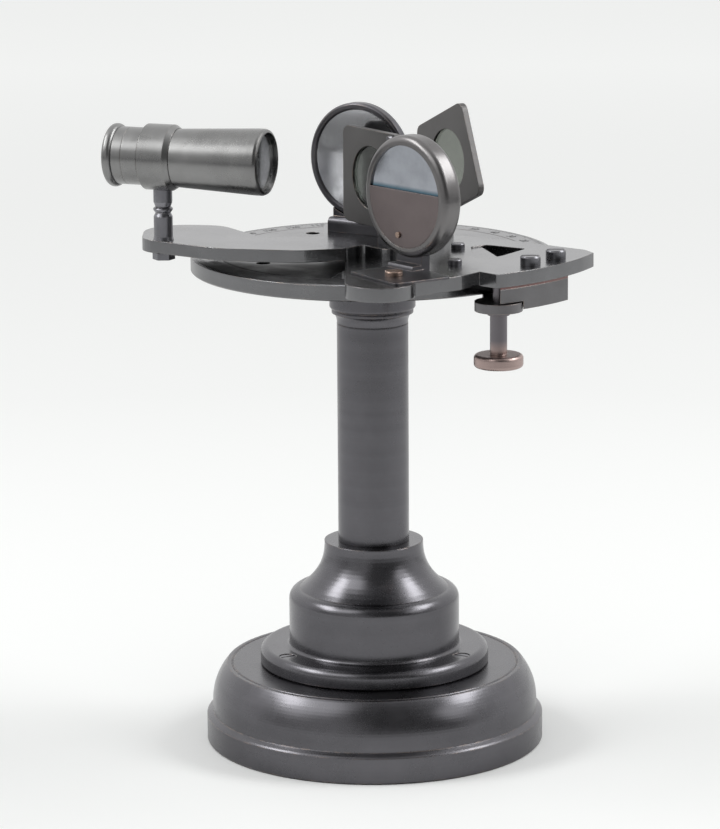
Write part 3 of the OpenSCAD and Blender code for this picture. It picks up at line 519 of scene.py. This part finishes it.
def mirror(name, silver, cloudy, blue_below=None):
    """Old silver; blue_below is the height under which the cut edge shows."""
    made = bpy.data.materials.new(name)
    made.use_nodes = True
    tree = made.node_tree
    skin = use_group(tree, plating, Position=place_of(tree), Cloud_size_mm=6.0)
    haze = spread(tree, skin.outputs["Clouds"], 0.4, 0.7)
    tarnish = blend_of(tree, haze, silver + (1,), tuple(c * cloudy for c in silver) + (1,))
    if blue_below:
        parts = add(tree, "ShaderNodeSeparateXYZ")
        feed(tree, parts, i0=place_of(tree))
        cut_edge = spread(tree, parts.outputs[2], blue_below, blue_below - FADE)
        tarnish = blend_of(tree, cut_edge, tarnish, CUT_BLUE)
    rough = spread(tree, skin.outputs["Clouds"], 0.35, 0.7, 0.10, 0.20)
    feed(tree, tree.nodes["Principled BSDF"], Base_Color=tarnish, Metallic=1.0, Roughness=rough)
    return made


def clear_glass(name, tint, clean, smeared, index=1.5, coat=0.0):
    made = bpy.data.materials.new(name)
    made.use_nodes = True
    tree = made.node_tree
    shader = tree.nodes["Principled BSDF"]
    skin = use_group(tree, plating, Position=place_of(tree), Cloud_size_mm=5.0)
    rough = spread(tree, skin.outputs["Clouds"], 0.4, 0.7, clean, smeared)
    dim = tuple(c * 0.93 for c in tint) + (1,)
    shade = blend_of(tree, skin.outputs["Clouds"], tint + (1,), dim)
    feed(tree, shader, Base_Color=shade, Metallic=0.0, Roughness=rough)
    feed(tree, shader, IOR=index, Transmission_Weight=1.0, Coat_Weight=coat)
    return made


index_silver = mirror("index mirror silver", (0.74, 0.75, 0.78), 0.82)
blue_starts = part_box("horizon_glass")[0][2] + 1.4 * MM
horizon_silver = mirror("half silvered mirror", (0.40, 0.42, 0.46), 0.85, blue_starts)
lens_glass = clear_glass("lens glass", (0.90, 0.92, 0.93), 0.12, 0.26, index=1.9, coat=1.0)
shade_glass = clear_glass("grey green shade glass", (0.22, 0.24, 0.21), 0.10, 0.22)
print("glasses:", [m.name for m in (index_silver, horizon_silver, lens_glass, shade_glass)])

# %% [markdown]
# ## Felt
# Felt is a mat of short fibres. A fine noise moves its colour and its height, and a little
# sheen catches the light on its rim as loose fibres do.

# %% Felt recipe
FIBRES_PER_METRE = 3500.0
FIBRE_HEIGHT = 0.1 * MM


def felt(name, colour):
    made = bpy.data.materials.new(name)
    made.use_nodes = True
    tree = made.node_tree
    shader = tree.nodes["Principled BSDF"]
    fibres = add(tree, "ShaderNodeTexNoise")
    feed(tree, fibres, Vector=place_of(tree), Scale=FIBRES_PER_METRE, Detail=3.0)
    deep = tuple(c * 0.6 for c in colour) + (1,)
    loose = tuple(c * 1.3 for c in colour) + (1,)
    lint = blend_of(tree, spread(tree, fibres.outputs[0], 0.35, 0.7), deep, loose)
    fuzz = add(tree, "ShaderNodeBump")
    feed(tree, fuzz, Strength=0.6, Distance=FIBRE_HEIGHT, Height=fibres.outputs[0])
    feed(tree, shader, Base_Color=lint, Roughness=0.95, Sheen_Weight=0.3, Normal=fuzz.outputs[0])
    return made


base_felt_cloth = felt("base felt", (0.035, 0.075, 0.045))
red_felt_cloth = felt("clamp felt", (0.15, 0.075, 0.07))
print("felts:", base_felt_cloth.name, "and", red_felt_cloth.name)

# %% [markdown]
# ## Giving each solid its finish
# Every solid of the model gets one of these materials in its own material slot, and its
# mesh stays as it is.

# %% Assign finishes
def finish(material, *names):
    for name in names:
        piece = nodes[name]
        if not piece.material_slots:
            piece.data.materials.append(material)
        for slot in piece.material_slots:
            slot.material = material


finish(base_dark, "base")
finish(bell_dark, "column_foot")
finish(turned_dark, "column", "column_collar")
finish(disc_metal, "limb_disc", "pivot_washer")
finish(index_metal, "index_plate")
finish(arm_metal, "telescope_arm")
finish(clamp_dark, "clamp_block")
finish(painted_light_jaw, "clamp_jaw")
finish(milled_dark, "index_foot", "horizon_foot")
finish(shade_metal, "front_shade", "rear_shade", "front_shade_post", "rear_shade_post")
finish(scope_dark, "telescope_tube", "telescope_collar", "draw_tube", "eyepiece_ring")
finish(horizon_dark, "horizon_frame")
finish(index_dark, "index_frame")
finish(screw_metal, "foot_screws", "pivot_screw", "plate_screws", "clamp_screws")
finish(screw_metal, "post_nut", "telescope_post")
finish(screw_metal, "front_shade_screw", "rear_shade_screw", "front_shade_pin")
finish(brass_metal, "horizon_foot_screw", "horizon_pin")
finish(thumb_metal, "thumb_screw")
finish(panel_metal, "horizon_panel")
finish(index_silver, "index_glass")
finish(horizon_silver, "horizon_glass")
finish(lens_glass, "objective_lens", "eyepiece_lens")
finish(shade_glass, "front_shade_glass", "rear_shade_glass")
finish(base_felt_cloth, "base_felt")
finish(red_felt_cloth, "clamp_felt")
bare_pieces = [
    name for name, piece in nodes.items()
    if not piece.material_slots or not piece.material_slots[0].material
]
print("solids without a finish:", bare_pieces)

# %% [markdown]
# ## The engraved limb
# The rim of the disc carries a scale: a short line for each degree, a longer one for each
# fifth and the longest for each tenth, with numbers inside them. A line this fine would
# cost the CAD model hundreds of cuts, so here each is a thin strip of dark wax that lies
# two hundredths of a millimetre over the top of the disc.

# %% Degree lines
WAX_RISE = 0.02 * MM
SCALE_RADIUS = 49.4 * MM
LINE_WIDTH = 0.11 * MM
TENTH, FIFTH, DEGREE = 2.4 * MM, 1.8 * MM, 1.2 * MM
WAX_DARK = (0.012, 0.012, 0.014, 1)
WAX_LIGHT = (0.05, 0.05, 0.055, 1)


def dark_wax(name):
    made = bpy.data.materials.new(name)
    made.use_nodes = True
    tree = made.node_tree
    skin = use_group(tree, plating, Position=place_of(tree), Cloud_size_mm=3.0)
    black = blend_of(tree, skin.outputs["Clouds"], WAX_DARK, WAX_LIGHT)
    shader = tree.nodes["Principled BSDF"]
    feed(tree, shader, Base_Color=black, Roughness=0.6, Specular_IOR_Level=0.3)
    return made


wax = dark_wax("engraving wax")


def new_piece(name, mesh, body, material):
    made = bpy.data.objects.new(name, mesh)
    scene.collection.objects.link(made)
    mesh.materials.append(material)
    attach(made, body)


def strip(target, radius_in, radius_out, angle, width, height):
    out = Vector((math.cos(angle), math.sin(angle), 0))
    side = Vector((-out.y, out.x, 0)) * width / 2
    lift = Vector((0, 0, height))
    inner, outer = radius_in * out + lift, radius_out * out + lift
    corners = [inner - side, outer - side, outer + side, inner + side]
    target.faces.new([target.verts.new(corner) for corner in corners])


scale_mesh = bmesh.new()
for degree in range(360):
    length = TENTH if degree % 10 == 0 else FIFTH if degree % 5 == 0 else DEGREE
    inner_end = SCALE_RADIUS - length
    angle = math.radians(degree)
    strip(scale_mesh, inner_end, SCALE_RADIUS, angle, LINE_WIDTH, DISC_TOP + WAX_RISE)
line_data = bpy.data.meshes.new("degree_lines")
scale_mesh.to_mesh(line_data)
scale_mesh.free()
new_piece("degree_lines", line_data, "stand", wax)
print(len(line_data.polygons), "lines on the limb")

# %% [markdown]
# ## Numbers on the limb
# Each tenth degree has its number, written from a font and turned so that its foot points to
# the middle of the disc. The figures are flat faces and are joined into one mesh.

# %% Numbers on the limb
FIGURE_SIZE = 3.1 * MM
FIGURE_RADIUS = 44.2 * MM


def numbers(name, size, radius, step):
    joined = bmesh.new()
    for degree in range(0, 360, step):
        text = bpy.data.curves.new("number", "FONT")
        text.body = str(degree)
        text.size = size
        text.align_x = "CENTER"
        text.align_y = "BOTTOM"
        text.resolution_u = 3
        writer = bpy.data.objects.new("number", text)
        scene.collection.objects.link(writer)
        shape = bpy.data.meshes.new_from_object(writer)
        angle = math.radians(degree)
        turn = Matrix.Rotation(angle - math.pi / 2, 4, "Z")
        foot = (radius * math.cos(angle), radius * math.sin(angle), DISC_TOP + WAX_RISE)
        shape.transform(Matrix.Translation(foot) @ turn)
        joined.from_mesh(shape)
        bpy.data.objects.remove(writer)
        bpy.data.meshes.remove(shape)
        bpy.data.curves.remove(text)
    data = bpy.data.meshes.new(name)
    joined.to_mesh(data)
    joined.free()
    return data


figures = numbers("limb_numbers", FIGURE_SIZE, FIGURE_RADIUS, 10)
new_piece("limb_numbers", figures, "stand", wax)
print(len(figures.polygons), "faces in the numbers")

# %% [markdown]
# ## The studio
# The object stands on white paper. Metal shows what is around it, so the surroundings are
# part of the finish: white behind and below, a white screen on each side, a window and a
# skylight at the front left, and for the rest a dark room. The world's colour goes by
# direction for reflections, and is white where the camera sees it.

# %% World
EVEN_LIGHT = 0.65
DARK_ROOM, WHITE_WALL = 0.14, 1.0
ROOM_FROM, WALL_FROM = -0.60, 0.15

world = bpy.data.worlds.new("studio")
scene.world = world
world.use_nodes = True
sky = world.node_tree
sky.nodes.clear()
direction = add(sky, "ShaderNodeTexCoord").outputs["Generated"]
toward = add(sky, "ShaderNodeSeparateXYZ")
feed(sky, toward, i0=direction)
around = spread(sky, toward.outputs[1], ROOM_FROM, WALL_FROM, DARK_ROOM, WHITE_WALL)


def patch_of_light(middle, faint_at, full_at, strength):
    """A round patch; both limits are cosines of the angle from its middle."""
    near = add(sky, "ShaderNodeVectorMath", operation="DOT_PRODUCT")
    feed(sky, near, i0=direction, i1=tuple(Vector(middle).normalized()))
    return spread(sky, near.outputs["Value"], faint_at, full_at, 0.0, strength)


window = patch_of_light((-0.62, -0.77, 0.15), 0.75, 0.95, 0.6)
skylight = patch_of_light((-0.515, -0.448, 0.729), 0.93, 0.985, 2.2)
left_screen = patch_of_light((-0.775, -0.345, 0.53), 0.95, 0.99, 1.9)
right_screen = patch_of_light((0.800, -0.370, 0.47), 0.95, 0.99, 1.9)
for patch in (window, skylight, left_screen, right_screen):
    around = sum_of(sky, "MAXIMUM", around, patch)
rays = add(sky, "ShaderNodeLightPath")
glossy, through = rays.outputs["Is Glossy Ray"], rays.outputs["Is Transmission Ray"]
mirrored = sum_of(sky, "MAXIMUM", glossy, through)
level = add(sky, "ShaderNodeMix")
feed(sky, level, i0=mirrored, i2=EVEN_LIGHT, i3=around)
seen = add(sky, "ShaderNodeMix")
feed(sky, seen, i0=rays.outputs["Is Camera Ray"], i2=level.outputs[0], i3=1.0)
backdrop = add(sky, "ShaderNodeBackground")
feed(sky, backdrop, Color=(1, 1, 1, 1), Strength=seen.outputs[0])
sky.links.new(backdrop.outputs[0], add(sky, "ShaderNodeOutputWorld").inputs[0])
print("world:", world.name, "with an even light of", EVEN_LIGHT)

# %% [markdown]
# ## The paper
# The paper is one large white plane. In reflections its near half ends a good metre from the
# object, where the dark room begins. For the camera it glows a little more the farther off it
# lies, because the lamps over the object leave its far parts too dark.

# %% Floor
PAPER_SIZE = 14
PAPER_DROP = 0.02 * MM
PAPER_SEEN = (0.93, 0.94, 0.93, 1)
PAPER_REFLECTED = (0.90, 0.905, 0.90, 1)
ROOM_REFLECTED = (0.36, 0.36, 0.37, 1)
FAR_GLOW = (0.225, 0.227, 0.225, 1)
NO_GLOW = (0, 0, 0, 1)
PAPER_ENDS, ROOM_BEGINS = 1.00, 1.14
GLOW_BEGINS, GLOW_FULL = 0.47, 1.45
LONGER_IN_FRONT = (1.0, 0.75, 1.0)

bpy.ops.mesh.primitive_plane_add(size=PAPER_SIZE, location=(0, 0, -PAPER_DROP))
paper = bpy.context.object
paper.name = "paper_floor"
paper_white = bpy.data.materials.new("white paper")
paper_white.use_nodes = True
tree = paper_white.node_tree
shader = tree.nodes["Principled BSDF"]
place = add(tree, "ShaderNodeNewGeometry").outputs["Position"]
spot = add(tree, "ShaderNodeSeparateXYZ")
feed(tree, spot, i0=place)
squeezed = add(tree, "ShaderNodeVectorMath", operation="MULTIPLY")
feed(tree, squeezed, i0=place, i1=LONGER_IN_FRONT)
reach = add(tree, "ShaderNodeVectorMath", operation="LENGTH")
feed(tree, reach, i0=squeezed.outputs[0])
off_paper = spread(tree, reach.outputs["Value"], PAPER_ENDS, ROOM_BEGINS)
near_side = spread(tree, spot.outputs[1], 0.1, -0.1)
in_room = sum_of(tree, "MULTIPLY", off_paper, near_side)
reflected = blend_of(tree, in_room, PAPER_REFLECTED, ROOM_REFLECTED)
by_camera = add(tree, "ShaderNodeLightPath").outputs["Is Camera Ray"]
paper_tone = blend_of(tree, by_camera, reflected, PAPER_SEEN)
from_object = add(tree, "ShaderNodeVectorMath", operation="LENGTH")
feed(tree, from_object, i0=place)
far_off = spread(tree, from_object.outputs["Value"], GLOW_BEGINS, GLOW_FULL)
glow = blend_of(tree, sum_of(tree, "MULTIPLY", far_off, by_camera), NO_GLOW, FAR_GLOW)
feed(tree, shader, Base_Color=paper_tone, Roughness=1.0, Specular_IOR_Level=0.0)
feed(tree, shader, Emission_Color=glow, Emission_Strength=1.0)
paper.data.materials.append(paper_white)
print("paper:", paper.name, PAPER_SIZE, "m wide")

# %% [markdown]
# ## The lamps
# A long soft lamp hangs on each side, a metre from the object, and rises toward the back. The
# two light the paper and the object, and show in the round metal as soft highlights.

# %% Lamps
LAMP_AWAY = 1.0
LAMP_WIDTH, LAMP_HEIGHT = 0.64, 0.28
LAMP_STRENGTH = 6.4
LAMP_TILT = 33
AIMED_AT = Vector((0, 0, 0.09))
LEFT_LAMP, RIGHT_LAMP = (-0.718, -0.05, 0.695), (0.727, 0.02, 0.685)


def soft_lamp(name, toward_lamp, tilt):
    data = bpy.data.lights.new(name, "AREA")
    data.shape = "RECTANGLE"
    data.size, data.size_y = LAMP_WIDTH, LAMP_HEIGHT
    data.energy = LAMP_STRENGTH * math.pi * LAMP_WIDTH * LAMP_HEIGHT
    lamp = bpy.data.objects.new(name, data)
    out = Vector(toward_lamp).normalized()
    lamp.location = AIMED_AT + out * LAMP_AWAY
    facing = out.to_track_quat("Z", "Y")
    facing.rotate(Quaternion(out, math.radians(tilt)))
    lamp.rotation_euler = facing.to_euler()
    scene.collection.objects.link(lamp)
    return lamp


left_lamp = soft_lamp("left_softbox", LEFT_LAMP, -LAMP_TILT)
right_lamp = soft_lamp("right_softbox", RIGHT_LAMP, LAMP_TILT)
print("lamps at", [[round(v, 2) for v in lamp.location] for lamp in (left_lamp, right_lamp)])
